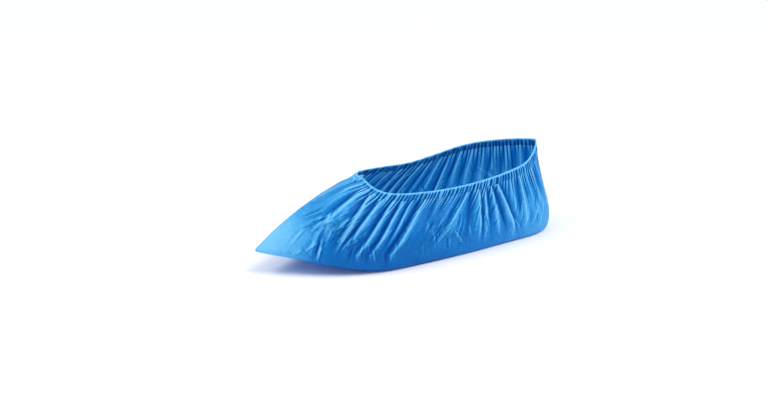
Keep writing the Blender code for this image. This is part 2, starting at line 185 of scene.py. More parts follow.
# Creases of the outer wall, in order from the toe to the heel: the place round the rim at the
# hem and at the belly, the height in millimetres (a valley is negative), and the shares of the
# way down where the crease starts and ends
OUTER_CREASES = [
    (0.025, 0.040, 1.0, 0.00, 0.55),
    (0.052, 0.055, -0.9, 0.00, 0.60),
    (0.066, 0.072, 2.0, 0.00, 0.72),
    (0.088, 0.120, -1.2, 0.00, 0.86),
    (0.100, 0.134, 2.1, 0.00, 0.92),
    (0.130, 0.138, -1.3, 0.00, 0.84),
    (0.143, 0.148, 2.0, 0.00, 0.88),
    (0.174, 0.184, -1.5, 0.00, 0.95),
    (0.187, 0.197, 2.3, 0.00, 1.02),
    (0.212, 0.228, -1.5, 0.00, 0.97),
    (0.224, 0.240, 2.2, 0.00, 1.00),
    (0.252, 0.268, -1.0, 0.00, 0.85),
    (0.262, 0.280, 1.0, 0.00, 0.75),
    (0.300, 0.291, -2.0, 0.00, 1.00),
    (0.315, 0.307, 3.0, 0.00, 1.06),
    (0.372, 0.378, -0.8, 0.00, 0.60),
    (0.390, 0.394, 0.7, 0.00, 0.52),
    (0.418, 0.410, -0.6, 0.00, 0.50),
    (0.436, 0.424, 0.8, 0.00, 0.56),
    (0.462, 0.446, 1.0, 0.00, 0.62),
    (0.490, 0.460, -0.9, 0.00, 0.70),
    (0.517, 0.475, 1.8, 0.00, 0.98),
    (0.530, 0.560, -2.0, 0.00, 0.78),
    (0.560, 0.602, 1.5, 0.00, 1.02),
    (0.574, 0.612, -0.9, 0.00, 0.92),
    (0.590, 0.622, 1.1, 0.20, 1.04),
    (0.602, 0.640, -1.2, 0.00, 0.80),
    (0.616, 0.668, 1.4, 0.00, 1.02),
    (0.629, 0.694, -1.5, 0.00, 0.92),
    (0.645, 0.722, 2.2, 0.00, 1.04),
    (0.664, 0.732, -1.3, 0.00, 0.96),
    (0.708, 0.742, 1.0, 0.00, 0.76),
    (0.750, 0.752, -1.8, 0.00, 0.72),
    (0.772, 0.772, 2.1, 0.00, 0.98),
    (0.791, 0.790, -1.1, 0.00, 0.60),
    (0.815, 0.812, 1.0, 0.00, 0.76),
    (0.840, 0.834, -0.7, 0.00, 0.60),
    (0.862, 0.852, 1.2, 0.00, 0.84),
    (0.894, 0.872, -1.6, 0.00, 0.70),
    (0.914, 0.902, 1.1, 0.00, 0.74),
    (0.946, 0.940, -0.3, 0.00, 0.50),
]

# Creases of the inner wall, drawn at random: their number, how far they wander at the hem and at
# the belly, how far they slant, their heights in millimetres, and how far down they end
INNER_CREASE_COUNT = 40
INNER_CREASE_WANDER, INNER_FOOT_WANDER = 0.25, 0.005
INNER_CREASE_SLANT = 0.028
INNER_RIDGE, INNER_VALLEY = (0.9, 2.0), (0.6, 1.5)
INNER_CREASE_END = (0.55, 1.04)

# Where the film is crumpled: the place along the side and its spread, the share of the way down
# and its spread, the number of short creases, the spread of their directions, and how tall
# they are
CRUMPLED_PLACES = (
    (0.07, 0.030, 0.70, 0.20, 20, 0.34, 1.0),
    (0.13, 0.045, 0.62, 0.20, 20, 0.34, 1.0),
    (0.22, 0.050, 0.80, 0.12, 12, 0.40, 0.8),
    (0.46, 0.090, 0.72, 0.15, 34, 0.60, 0.6),
    (0.80, 0.100, 0.70, 0.14, 20, 0.50, 0.9),
    (0.50, 0.280, 0.60, 0.25, 36, 0.50, 0.8),
)

# Short creases: how they lean, their sizes in millimetres, how many are valleys, how much wider
# their gentle flank is, and over which length under the hem they come in
CREASE_LEAN = 0.25
CREASE_LENGTH, CREASE_WIDTH, CREASE_HEIGHT = (5.0, 14.0), (1.1, 1.9), (0.35, 0.85)
CREASE_SIGNS = (1.0, 1.0, -1.0)
LONG_FLANK = 3.0
CRUMPLED_BELOW_HEM = 0.012

# Where the fine creases of the surface show: their amount everywhere, then the amount, the place
# along the side and its spread, and the share of the way down and its spread
FINE_EVERYWHERE = 0.12
FINE_CREASED = ((1.0, 0.11, 0.07, 0.72, 0.27), (0.9, 0.46, 0.10, 0.84, 0.24))
FINE_BELOW = 0.3
FINE_ON_SOLE = 0.3
FINE_ON_HEM = 0.2

# The fuller film beside the toe seam: how far it stands out, over which share of a side, and the
# shares of the way down over which it rises and sinks again
TOE_FILL = 0.0048
TOE_FILL_SPREAD = 0.11
TOE_FILL_RISE, TOE_FILL_FALL = 0.22, 0.6

# Weld strips, and the crumpled tab of the toe strip at the front of the rim
SEAM_STAND = 0.0002
SEAM_DROPS = (1.8 * MM, 3.4 * MM, 5.2 * MM, 7.0 * MM, 8.8 * MM)
SEAM_OVER_HEM = 0.5 * MM
WELD_ROWS = 6
WELD_STEP = 0.6 * MM
WELD_LEAST_STEPS = 8
WELD_WALL = 0.25 * MM
WELD_WIDTH_FLAT = 0.002
WELD_CELL = (3, 2)
CRIMP, CRIMP_STEPS = 0.10 * MM, 4
SWAY, SWAY_BY_HEIGHT = 0.16 * MM, 0.25
TAB_HEIGHT = 0.0062
TAB_LEAN = 0.5
TAB_FROM, TAB_OVER = 0.008, 0.012
TAB_RAGGED = 0.25
# Painted light on the weld strips, and painted light and shade on the crumpled tab
WELD_PAINTED_LIGHT, TAB_PAINTED_SHADING = 1.8, 2.4

# Painted shading by relief, with painted highlights on ridges and painted shade in valleys: of
# narrow ridges, of whole folds and over how many columns, and of the hem
RIDGE_PAINTED_SHADING = 3.6
FOLD_PAINTED_SHADING = 0.48
FOLD_COLUMNS = 14
ACROSS_WEIGHT, ALONG_WEIGHT = 0.40, 0.10
# Painted highlights on the hem's puckers and painted shade in the gaps between them, painted light
# on the hem by the toe, and a painted highlight on the roll
HEM_PUCKER_PAINTED_SHADING, HEM_PAINTED_SHADE = 2.8, 0.5
HEM_SEAM_PAINTED_LIGHT, HEM_SEAM_RUN = 0.9, 0.04
HEM_TOE_RUN = {OUTER: 0.04, INNER: 0.20}
ROLL_PAINTED_HIGHLIGHT = 2.4

# Slow painted shading, with painted shade low towards the toe and painted light on the heel: the
# change, then where along the side and where down the film it comes in, each as a start and the run
# from there, which is negative towards the toe
SLOW_PAINTED_SHADING = (
    (-0.4, 0.62, -0.2, 0.5, 0.5),
    (0.7, 0.58, 0.25, 0.2, 0.6),
)

# Painted light at the tip of the toe, stronger and wider low down, and on the film behind it
TIP_PAINTED_LIGHT = 2.8
TIP_HIGH, TIP_LOW, TIP_FROM, TIP_OVER = 0.18, 0.72, 0.5, 0.4
TIP_BAND, TIP_BAND_WIDER, TIP_BAND_FROM, TIP_BAND_OVER = 0.045, 0.03, 0.55, 0.4
TOE_PAINTED_LIGHT, TOE_PLACE = 0.30, (0.09, 0.06, 0.5, 0.3)

# Painted light on the inner film behind the toe ridge, and painted shade on the last rows at the
# sole
BEHIND_RIDGE_PAINTED_LIGHT, BEHIND_RIDGE_FROM, BEHIND_RIDGE_RUN = 0.55, 0.26, -0.10
SOLE_EDGE_PAINTED_SHADE = (-0.3, -0.8, -1.2)

# Film colours from painted shade in its valleys through its own blue to painted highlights on its
# ridges, their places on the ramp, and how the painted shading is put on the ramp
FILM_BLUE_AND_PAINTED_SHADING = (
    (0.001, 0.088, 0.37, 1.0),
    (0.006, 0.225, 0.61, 1.0),
    (0.105, 0.52, 0.90, 1.0),
    (0.25, 0.68, 0.97, 1.0),
)
TONE_STOPS = (0.04, 0.42, 0.72, 1.0)
PAINTED_SHADING_SHARE, LEVEL_SHARE = 0.29, 0.39

# Film surfaces: their roughness, the share of light that comes through, and the depth of the bumps
FILM_LOOK = (0.30, 0.33, 1.0 * MM)
HEM_LOOK = (0.36, 0.25, 0.3 * MM)
WELD_LOOK = (0.35, 0.30, 0.3 * MM)
FILM_SPECULAR = 0.1
THREAD_COLOUR, THREAD_ROUGHNESS = (0.25, 0.65, 0.95, 1.0), 0.7

# Diamond emboss: its pitch on the flat film, its height and its painted shading
EMBOSS_PITCH = 0.0036
EMBOSS_HEIGHT, EMBOSS_PAINTED_SHADING = 0.08, 0.09

# Fine creases: the turn of each set and how fine it is across and along, then their steepness and
# height, the painted highlight on their lines and the painted light and shade of their facets, and
# the patches where they show
CREASE_SETS = ((0.55, 260.0, 75.0), (-0.7, 300.0, 90.0), (0.05, 340.0, 70.0))
CREASE_DETAIL, CREASE_BEND = 2.5, 0.4
CREASE_SHARP = 9.0
FINE_HEIGHT = 0.5
FINE_PAINTED_HIGHLIGHT, FACET_PAINTED_SHADING = 0.10, 0.25
PATCH_SCALE, PATCH_DETAIL = 24.0, 1.0
PATCH_FROM, PATCH_TO, PATCH_LEAST = 0.36, 0.60, 0.25

# Mottling of the film: how fine and how strong
MOTTLES = ((45.0, 0.18), (330.0, 0.25))
MOTTLE_DETAIL = 2.0
NOISE_MIDDLE = 0.5

# Stage, with the spread of the broad lamp in degrees
FLOOR_SIZE = 16.0
FLOOR_HEIGHT = -0.4 * MM
FLOOR_COLOUR, FLOOR_ROUGHNESS = (0.95, 0.88, 0.94, 1.0), 0.7
ROOM_COLOUR, ROOM_LIGHT = (0.76, 0.93, 1.0, 1.0), 0.72
SUN_LIGHT, SUN_SPREAD = 2.12, 38
SUN_PLACE = (0.42, 0.62, 0.90)
TOE_LAMP_LIGHT, TOE_LAMP_SIZE = 5.0, 0.6
TOE_LAMP_PLACE, TOE_LAMP_AIM = (-0.15, -0.8, 0.9), (0.0, -0.1, 0.03)

# Camera, with its angles in degrees and its lens and sensor in millimetres
CAMERA_PLACE = (0.72896, -0.40193, 0.32784)
CAMERA_AZIMUTH, CAMERA_ELEVATION = 63.045, 18.642
CAMERA_LENS, SENSOR_WIDTH = 40.66, 36.0


def unit(vectors):
    return vectors / np.maximum(np.linalg.norm(vectors, axis=-1, keepdims=True), 1e-12)


def smooth_rise(share):
    """0 below 0, 1 above 1, and a smooth rise between."""
    held = np.clip(share, 0.0, 1.0)
    return held * held * (3 - 2 * held)


def rise(values, start, run):
    """0 before the start, 1 past the run from there, and a smooth rise between."""
    return smooth_rise((values - start) / run)


def curve_through(rows, steps_between=24):
    """A Catmull-Rom curve through the rows, whose first and last stretch run on straight."""
    rows = np.asarray(rows, float)
    held = np.vstack([2 * rows[0] - rows[1], rows, 2 * rows[-1] - rows[-2]])
    share = np.arange(steps_between)[:, None] / steps_between
    stretches = []
    for before, start, end, after in zip(held, held[1:], held[2:], held[3:]):
        stretches.append(
            start
            + share * (end - before) / 2
            + share**2 * (2 * before - 5 * start + 4 * end - after) / 2
            + share**3 * (3 * start - before - 3 * end + after) / 2
        )
    return np.vstack([*stretches, rows[-1:]])


def spread_along(curve, shares):
    """Reads the curve at these shares of its length, which its first three values measure."""
    steps = np.linalg.norm(np.diff(curve[:, :3], axis=0), axis=1)
    run = np.concatenate([[0.0], np.cumsum(steps)])
    return np.column_stack([np.interp(shares * run[-1], run, column) for column in curve.T])


def rim_line(side, shares):
    """Points on the top of the hem and, as a fourth value, how far the film leaves sideways."""
    back = BAG_LENGTH / 2 - OPENING_HEEL_SETBACK
    rows = []
    for along, outer, inner, outer_drop, inner_drop, shoulder in RIM_TABLE:
        line = TOE_RIM_HEIGHT + (HEEL_RIM_HEIGHT - TOE_RIM_HEIGHT) * along
        width, drop = (outer, outer_drop) if side == OUTER else (inner, inner_drop)
        rows.append(
            [
                side * width * OPENING_WIDTH / 2,
                back - OPENING_LENGTH * (1 - along),
                line - drop * RIM_DROP,
                shoulder,
            ]
        )
    return spread_along(curve_through(rows), shares)


def sole_line(side, shares):
    """Points on the sole's outline with their lift, then belly height and flare."""
    rows = []
    for along, outer, inner, lift, belly, flare in SOLE_TABLE:
        width = outer if side == OUTER else inner
        rows.append(
            [
                side * width * BAG_WIDTH / 2,
                BAG_LENGTH * (along - 0.5),
                lift * TIP_LIFT,
                belly * BELLY_HEIGHT,
                flare,
            ]
        )
    fan = curve_through(FAN_TABLE)
    line = spread_along(curve_through(rows), np.interp(shares, fan[:, 0], fan[:, 1]))
    line[:, 2] = np.maximum(line[:, 2], 0.0)
    return line


def outward_in_plan(points, side):
    """The level direction that points out of the sole's outline."""
    along = np.gradient(points[:, :2], axis=0)
    out = unit(np.column_stack([side * along[:, 1], -side * along[:, 0]]))
    out[0] = (0.0, -1.0)
    out[-1] = (0.0, 1.0)
    return np.column_stack([out, np.zeros(len(out))])


def rough_field(random, shape, cell):
    """Smooth random heights, about -1 to 1, whose bumps are this many rows and columns wide."""
    coarse = [max(2, int(np.ceil(n / c)) + 1) for n, c in zip(shape, cell)]
    knots = random.uniform(-1.0, 1.0, coarse)
    for axis in (0, 1):
        place = np.linspace(0, coarse[axis] - 1, shape[axis])
        low = np.minimum(place.astype(int), coarse[axis] - 2)
        share = smooth_rise(place - low)
        share = share[:, None] if axis == 0 else share[None, :]
        knots = np.take(knots, low, axis) * (1 - share) + np.take(knots, low + 1, axis) * share
    return knots


class Side:
    """One side of the cover, as columns of film that run from the rim down to the sole."""

    def __init__(self, side, columns, wall_rows):
        self.side = side
        self.shares = np.linspace(0.0, 1.0, columns + 1)
        self.rim = rim_line(side, self.shares)
        self.sole = sole_line(side, self.shares)
        self.out = outward_in_plan(self.sole, side)
        self.belly = self.sole[:, :3] + self.sole[:, 3:4] * UP
        run = self.belly - self.rim[:, :3]
        self.reach = np.linalg.norm(run, axis=1)
        self.ahead = unit(run * (1.0, 1.0, 0.0))
        self.below_hem = (HEM_DEPTH / self.reach)[:, None]
        self.top = self.rim[:, :3]
        self.down = unit(self.smooth_face(self.below_hem)[:, 0] - self.top)
        self.hem_out = self.normals(self.down, self.top)
        rows = np.linspace(0.0, 1.0, wall_rows + 1)[None, :]
        self.depths = self.below_hem + (1 - self.below_hem) * rows
        wall = self.smooth_face(self.depths)
        turns = [self.edge_row((i + 1) / EDGE_ROWS) for i in range(EDGE_ROWS)]
        self.smooth = np.concatenate([wall, np.stack(turns, axis=1)], axis=1)
        turned = 1 + EDGE_SHARE * np.arange(1, EDGE_ROWS + 1) / EDGE_ROWS
        self.depths = np.hstack([self.depths, np.tile(turned, (columns + 1, 1))])
        steps = np.linalg.norm(np.diff(self.smooth, axis=1), axis=2)
        self.run = np.hstack([np.zeros((columns + 1, 1)), np.cumsum(steps, axis=1)])
        self.outward = self.normals(np.gradient(self.smooth, axis=1), self.smooth)

    def normals(self, down, points):
        """The outward directions, which stay in the middle plane at both ends."""
        out = np.cross(down, np.gradient(points, axis=0)) * self.side
        for end, turn in ((0, -1.0), (-1, 1.0)):
            out[end, ..., 0] = 0.0
            out[end, ..., 1] = -turn * down[end, ..., 2]
            out[end, ..., 2] = turn * down[end, ..., 1]
        return unit(out)

    def smooth_face(self, depths):
        """The unfolded film at these shares of the way down each column."""
        start, end = self.rim[:, None, :3], self.belly[:, None]
        ahead, reach = self.ahead[:, None], self.reach[:, None, None]
        shoulder, flare = self.rim[:, 3][:, None, None], self.sole[:, 4][:, None, None]
        leave = reach * (shoulder * ahead - np.sqrt(1 - shoulder**2) * UP)
        arrive = reach * (flare * ahead - np.sqrt(1 - flare**2) * UP)
        s = depths[:, :, None]
        return (
            (2 * s**3 - 3 * s**2 + 1) * start
            + (s**3 - 2 * s**2 + s) * leave
            + (3 * s**2 - 2 * s**3) * end
            + (s**3 - s**2) * arrive
        )

    def edge_row(self, turn):
        """A row of the rounded turn from the belly down to the sole."""
        angle = turn * np.pi / 2
        inset = SOLE_EDGE_ROUND * (1 - np.cos(angle)) * self.sole[:, 3:4] / BELLY_HEIGHT
        height = self.sole[:, 3:4] * (1 - np.sin(angle))
        return self.sole[:, :3] - self.out * inset + UP * height

    def away_from_seams(self, toe_run, heel_run):
        """0 on the seams and 1 away from them, for each column."""
        return smooth_rise(self.shares / toe_run) * smooth_rise((1 - self.shares) / heel_run)

    def near_seams(self):
        """How far folds and creases are let out beside the seams, for each column."""
        return self.away_from_seams(SEAM_CALM if self.side == OUTER else INNER_TOE_CALM, SEAM_CALM)

    def gathers(self):
        """How far the hem's uneven puckers stand out, for each column: round, with narrow gaps."""
        random = np.random.default_rng(PUCKER_SEEDS[self.side])
        knots = np.arange(GATHERS_PER_SIDE + 1) / GATHERS_PER_SIDE
        drift = random.uniform(-PUCKER_DRIFT, PUCKER_DRIFT, len(knots))
        tall = random.uniform(*PUCKER_TALL, len(knots))
        turns = self.shares * GATHERS_PER_SIDE + np.interp(self.shares, knots, drift)
        round_top = np.abs(np.sin(np.pi * turns)) ** PUCKER_ROUND
        toe_calm = PUCKER_SEAM_CALM if self.side == OUTER else INNER_TOE_CALM / 2
        calm = self.away_from_seams(toe_calm, PUCKER_SEAM_CALM)
        tall = np.interp(self.shares, knots, tall)
        return PUCKER_HEIGHT * tall * (round_top - PUCKER_MIDDLE) * calm

    def creases(self):
        """The crease lines of this side; the inner side's are drawn at random."""
        if self.side == OUTER:
            return OUTER_CREASES
        random = np.random.default_rng(INNER_CREASE_SEED)
        made = []
        for i in range(1, INNER_CREASE_COUNT):
            wander = random.uniform(-INNER_CREASE_WANDER, INNER_CREASE_WANDER)
            top = (i + wander) / INNER_CREASE_COUNT
            foot = top + INNER_CREASE_SLANT * np.sin(2 * np.pi * top)
            foot += random.uniform(-INNER_FOOT_WANDER, INNER_FOOT_WANDER)
            height = random.uniform(*INNER_RIDGE) if i % 2 else -random.uniform(*INNER_VALLEY)
            made.append((top, foot, height, 0.0, random.uniform(*INNER_CREASE_END)))
        return made

    def crease_line(self, top, foot):
        """The places where a straight crease from the rim to the belly crosses each row."""
        columns, belly = len(self.shares) - 1, -1 - EDGE_ROWS
        first, last = int(top * columns), int(foot * columns)
        start, end = self.smooth[first, 0], self.smooth[last, belly]
        across = np.cross(end - start, self.outward[first, 0] + self.outward[last, belly])
        off = (self.smooth - start) @ across
        guess = top + (foot - top) * np.minimum(self.depths.mean(axis=0), 1.0)
        places = guess.copy()
        for j, line in enumerate(off.T[:-EDGE_ROWS]):
            crossed = np.nonzero(line[:-1] * line[1:] < 0)[0]
            if len(crossed):
                share = line[crossed] / (line[crossed] - line[crossed + 1])
                found = (crossed + share) / columns
                nearest = found[np.argmin(np.abs(found - guess[j]))]
                places[j] = guess[j] + np.clip(nearest - guess[j], -STRAIGHTEN, STRAIGHTEN)
        places[-EDGE_ROWS:] = places[belly]
        return places

    def folds(self):
        """How far the folds push the film out: flat panels between ridges and valleys."""
        lines, heights = [], []
        depths = self.depths.mean(axis=0)
        for top, foot, height, start, end in self.creases():
            lines.append(self.crease_line(top, foot))
            fades = smooth_rise((FOLD_LOWER * end - depths) / FOLD_FADE)
            grows = FOLD_AT_HEM + (1 - FOLD_AT_HEM) * rise(depths, start, FOLD_GROWS_OVER)
            scale = FOLD_SCALE * (1 - HEEL_CALM * rise(top, HEEL_CALM_FROM, HEEL_CALM_OVER))
            heights.append(scale * height * MM * fades * grows * (depths > start))
        ends = np.zeros((1, len(depths)))
        lines = np.maximum.accumulate(np.vstack([ends, lines, ends + 1.0]), axis=0)
        heights = np.vstack([ends, heights, ends])
        rows = [np.interp(self.shares, *row) for row in zip(lines.T, heights.T)]
        pushed = np.stack(rows, axis=1)
        pushed[1:-1] = (pushed[:-2] + 2 * pushed[1:-1] + pushed[2:]) / 4
        return pushed * self.near_seams()[:, None]


def short_creases(side, random):
    """Short straight creases, steep on one flank, as crumpled film has them."""
    made = np.zeros(side.run.shape)
    columns, belly = len(side.shares) - 1, made.shape[1] - 1 - EDGE_ROWS
    downward = unit(np.gradient(side.smooth, axis=1))
    for share, share_spread, depth, depth_spread, count, turn_spread, tall in CRUMPLED_PLACES:
        for _ in range(count):
            column = int(columns * np.clip(random.normal(share, share_spread), 0.0, 1.0))
            row = int(belly * np.clip(random.normal(depth, depth_spread), 0.0, 1.0))
            turn = random.normal(CREASE_LEAN * side.side, turn_spread)
            length = random.uniform(*CREASE_LENGTH) * MM
            width = random.uniform(*CREASE_WIDTH) * MM
            height = tall * random.uniform(*CREASE_HEIGHT) * MM * random.choice(CREASE_SIGNS)
            down, out = downward[column, row], side.outward[column, row]
            ahead = unit(np.cross(down, out))
            here = side.smooth - side.smooth[column, row]
            on_line = here @ (down * np.cos(turn) + ahead * np.sin(turn)) / length
            off_line = here @ (ahead * np.cos(turn) - down * np.sin(turn)) / width
            flank = np.clip(1 - np.maximum(-off_line, off_line / LONG_FLANK), 0.0, 1.0)
            made += height * flank * np.clip(1 - on_line**2, 0.0, 1.0) * (here @ out > -length)
    return made


def hill(side, share, share_spread, depth, depth_spread):
    """1 at this place of the side's film, and smoothly less round it."""
    along = (side.shares[:, None] - share) / share_spread
    return np.exp(-(along**2) - ((side.depths - depth) / depth_spread) ** 2)


def fine_creased(side):
    """Where fine creases show: behind the toe, low amidships, and a little everywhere."""
    amount = FINE_EVERYWHERE + sum(most * hill(side, *place) for most, *place in FINE_CREASED)
    return np.clip(amount, 0.0, 1.0) * smooth_rise(side.depths / FINE_BELOW)


def toe_fill(side):
    """How far the fuller film beside the toe seam stands out."""
    along_seam = smooth_rise(side.depths / TOE_FILL_RISE)
    along_seam *= smooth_rise((1.0 - side.depths) / TOE_FILL_FALL)
    return TOE_FILL * along_seam * np.exp(-((side.shares[:, None] / TOE_FILL_SPREAD) ** 2))


def folded_film(side_sign):
    """One side with its film: folds, the puckers that run out under the hem, and crumpling."""
    side = Side(side_sign, GATHERS_PER_SIDE * COLUMNS_PER_GATHER, WALL_ROWS)
    random = np.random.default_rng(CRUMPLE_SEEDS[side_sign])
    folds, side.gathered = side.folds(), side.gathers()
    side.rim_push = side.gathered + folds[:, 0]
    knots = np.linspace(0.0, 1.0, GATHERS_PER_SIDE + 1)
    run_out = np.interp(side.shares, knots, random.uniform(*RUN_OUT, len(knots)))
    run_out *= 1 - HEEL_RUN_OUT_CUT * rise(side.shares, HEEL_RUN_OUT_FROM, HEEL_RUN_OUT_OVER)
    fades = np.exp(-((side.run / run_out[:, None]) ** RUN_OUT_FADE))
    crumple = short_creases(side, random) * smooth_rise(side.run / CRUMPLED_BELOW_HEM)
    side.push = folds + side.gathered[:, None] * fades + crumple * side.near_seams()[:, None]
    side.push[:, -EDGE_ROWS:] *= np.linspace(EDGE_FADE, 0.0, EDGE_ROWS)
    stands_out = side.push + toe_fill(side)
    side.film = side.smooth + stands_out[:, :, None] * side.outward
    side.film[:, :, 2] = np.maximum(side.film[:, :, 2], side.smooth[:, -1:, 2])
    return side


def around(push, width):
    """The push of the film averaged over this many columns each way."""
    run = np.cumsum(np.pad(push, ((width + 1, width), (0, 0)), mode="edge"), axis=0)
    return (run[2 * width + 1 :] - run[: -2 * width - 1]) / (2 * width + 1)


def painted_shading_of_relief(push):
    """Painted shading of the film's folds: a narrow painted highlight on its ridges, painted shade
    in its valleys.
    """
    padded = np.pad(push, ((2, 2), (1, 1)), mode="edge")
    across = padded[4:, 1:-1] + padded[:-4, 1:-1]
    along = padded[2:-2, 2:] + padded[2:-2, :-2]
    beside = ACROSS_WEIGHT * across + ALONG_WEIGHT * along
    return (RIDGE_PAINTED_SHADING * (push - beside) + FOLD_PAINTED_SHADING * (push - around(push, FOLD_COLUMNS))) / MM


def painted_shading_of_side(side):
    """The painted shading of a side's film: by its folds, and the slow painted light and shade
    along and down the side.
    """
    share, depth = side.shares[:, None], side.depths
    tone = painted_shading_of_relief(side.push)
    # Painted shade low at the front and painted light on the heel
    for change, start, run, start_down, run_down in SLOW_PAINTED_SHADING:
        tone += change * rise(share, start, run) * rise(depth, start_down, run_down)
    # Painted light at the tip of the toe and on the toe cap behind it
    band = TIP_BAND + TIP_BAND_WIDER * rise(depth, TIP_BAND_FROM, TIP_BAND_OVER)
    at_tip = TIP_HIGH + TIP_LOW * rise(depth, TIP_FROM, TIP_OVER)
    tone += TIP_PAINTED_LIGHT * at_tip * np.exp(-((share / band) ** 2))
    tone += TOE_PAINTED_LIGHT * hill(side, *TOE_PLACE)
    # Painted light on the inner film behind the toe ridge
    if side.side == INNER:
        tone += BEHIND_RIDGE_PAINTED_LIGHT * rise(share, BEHIND_RIDGE_FROM, BEHIND_RIDGE_RUN)
    # Painted shade on the last rows at the sole
    tone[:, -len(SOLE_EDGE_PAINTED_SHADE) :] += SOLE_EDGE_PAINTED_SHADE
    return tone


def new_sheet():
    """An empty mesh with layers for the flat film's places, its painted shading and its crumpling.
    """
    mesh = bmesh.new()
    uv_layer = mesh.loops.layers.uv.new("flat film")
    mesh.verts.layers.float.new("painted_shading")
    mesh.verts.layers.float.new("crumpled")
    return mesh, uv_layer


def add_grid(sheet, grid, flat, painted_shading, crumpled, outward_first):
    """Adds the quads of a grid of points, with each point's flat place, painted shading and
    crumpling.
    """
    mesh, uv_layer = sheet
    corners = [[mesh.verts.new(point) for point in column] for column in grid]
    for name, field in (("painted_shading", painted_shading), ("crumpled", crumpled)):
        layer = mesh.verts.layers.float[name]
        for column, values in zip(corners, np.broadcast_to(field, np.shape(grid)[:2])):
            for corner, value in zip(column, values):
                corner[layer] = value
    for i in range(len(grid) - 1):
        for j in range(len(grid[i]) - 1):
            ring = [(i, j), (i, j + 1), (i + 1, j + 1), (i + 1, j)]
            if not outward_first:
                ring.reverse()
            face = mesh.faces.new([corners[a][b] for a, b in ring])
            for loop, (a, b) in zip(face.loops, ring):
                loop[uv_layer].uv = flat[a][b]


def sheet_object(name, sheet, material):
    """An object from the sheet, with coincident points joined and shading smoothed."""
    mesh = sheet[0]
    bmesh.ops.remove_doubles(mesh, verts=mesh.verts, dist=1e-6)
    data = bpy.data.meshes.new(name)
    mesh.to_mesh(data)
    mesh.free()
    data.materials.append(material)
    data.polygons.foreach_set("use_smooth", [True] * len(data.polygons))
    made = bpy.data.objects.new(name, data)
    bpy.context.scene.collection.objects.link(made)
    return made


def flat_places(side, down):
    """Where points that lie this far down from the rim are on the flat film, in metres."""
    u = side.side * side.shares[:, None] * FLAT_LENGTH
    return np.stack(np.broadcast_arrays(u, FLAT_HEIGHT - down), axis=2)


def make_film(sides, material):
    """The film bag as one sheet: its edge in the hem, both walls and the sole."""
    sheet = new_sheet()
    for side in sides:
        in_hem = side.top + BAG_EDGE_DROP * side.down + side.rim_push[:, None] * side.hem_out
        grid = np.concatenate([in_hem[:, None], side.film], axis=1)
        run = np.hstack([side.run[:, :1] - (HEM_DEPTH - BAG_EDGE_DROP), side.run])
        tone, creased = painted_shading_of_side(side), fine_creased(side)
        tone = np.hstack([tone[:, :1], tone])
        creased = np.hstack([creased[:, :1], creased])
        add_grid(sheet, grid, flat_places(side, HEM_DEPTH + run), tone, creased, side.side == OUTER)
    outer, inner = (side.film[:, -1] for side in sides)
    across = np.linspace(0.0, 1.0, SOLE_ROWS + 1)[None, :]
    sole = outer[:, None] * (1 - across[:, :, None]) + inner[:, None] * across[:, :, None]
    last = sides[0].run[:, -1:] + HEM_DEPTH
    flat = flat_places(sides[0], last + across * np.linalg.norm(outer - inner, axis=1)[:, None])
    add_grid(sheet, sole, flat, 0.0, FINE_ON_SOLE, True)
    return sheet_object("film_sheet", sheet, material)


def make_ring(name, sides, profile, material):
    """A band round the rim from a profile of (drop, offset, share of the puckers) points."""
    sheet = new_sheet()
    for side in sides:
        lines, tones = [], []
        # Painted highlights on the puckers, painted shade in their gaps, painted light by the toe
        # and a painted highlight on the roll
        by_toe = smooth_rise((HEM_TOE_RUN[side.side] - side.shares) / HEM_SEAM_RUN)
        puckers = HEM_PUCKER_PAINTED_SHADING * side.gathered / MM - HEM_PAINTED_SHADE + HEM_SEAM_PAINTED_LIGHT * by_toe
        for drop, offset, gathered in profile:
            push = side.rim_push * gathered + offset
            lines.append(side.top + drop * side.down + push[:, None] * side.hem_out)
            tones.append(puckers * gathered + ROLL_PAINTED_HIGHLIGHT * (1 - gathered))
        grid, tone = np.stack(lines, axis=1), np.stack(tones, axis=1)
        flat = flat_places(side, HEM_ROW_STEP * np.arange(len(profile))[None, :])
        add_grid(sheet, grid, flat, tone, FINE_ON_HEM, side.side == OUTER)
    return sheet_object(name, sheet, material)


def hem_profile():
    """Inner leg, roll over the elastic, outer leg: (drop, offset, share of the puckers)."""
    points = [(HEM_DEPTH - height, -stand, 1.0) for height, stand in INNER_EDGE]
    points += [(drop, -LEG_STAND, 1.0) for drop in INNER_LEG_DROPS]
    points.append((NECK_DROP, -INNER_NECK_STAND, NECK_PUCKERS))
    for angle in np.radians(np.linspace(ROLL_START, ROLL_END, ROLL_POINTS)):
        rolled = (ROLL_DROP - ROLL_RADIUS * np.sin(angle), -ROLL_RADIUS * np.cos(angle))
        points.append((*rolled, ROLL_PUCKERS))
    points.append((NECK_DROP, OUTER_NECK_STAND, NECK_PUCKERS))
    points += [(drop, LEG_STAND, 1.0) for drop in OUTER_LEG_DROPS]
    points += [(HEM_DEPTH - height, stand, 1.0) for height, stand in OUTER_EDGE]
    return points


def elastic_profile():
    """A round thread in the roll of the hem, closed on itself."""
    angles = np.radians(np.linspace(0, 360, 9))
    drops, offsets = ROLL_DROP - THREAD_RADIUS * np.sin(angles), -THREAD_RADIUS * np.cos(angles)
    return [(drop, offset, ROLL_PUCKERS) for drop, offset in zip(drops, offsets)]


def seam_foot(sides, column):
    """The foot and the outward direction of the film along a seam, down from the hem's roll."""
    side = sides[0]
    drops = np.array(SEAM_DROPS)[:, None]
    over_hem = side.top[column] + drops * side.down[column] + SEAM_OVER_HEM * side.hem_out[column]
    foot = np.vstack([over_hem, side.film[column, 1:-1]])
    out = np.vstack([np.tile(side.hem_out[column], (len(drops), 1)), side.outward[column, 1:-1]])
    return foot, out


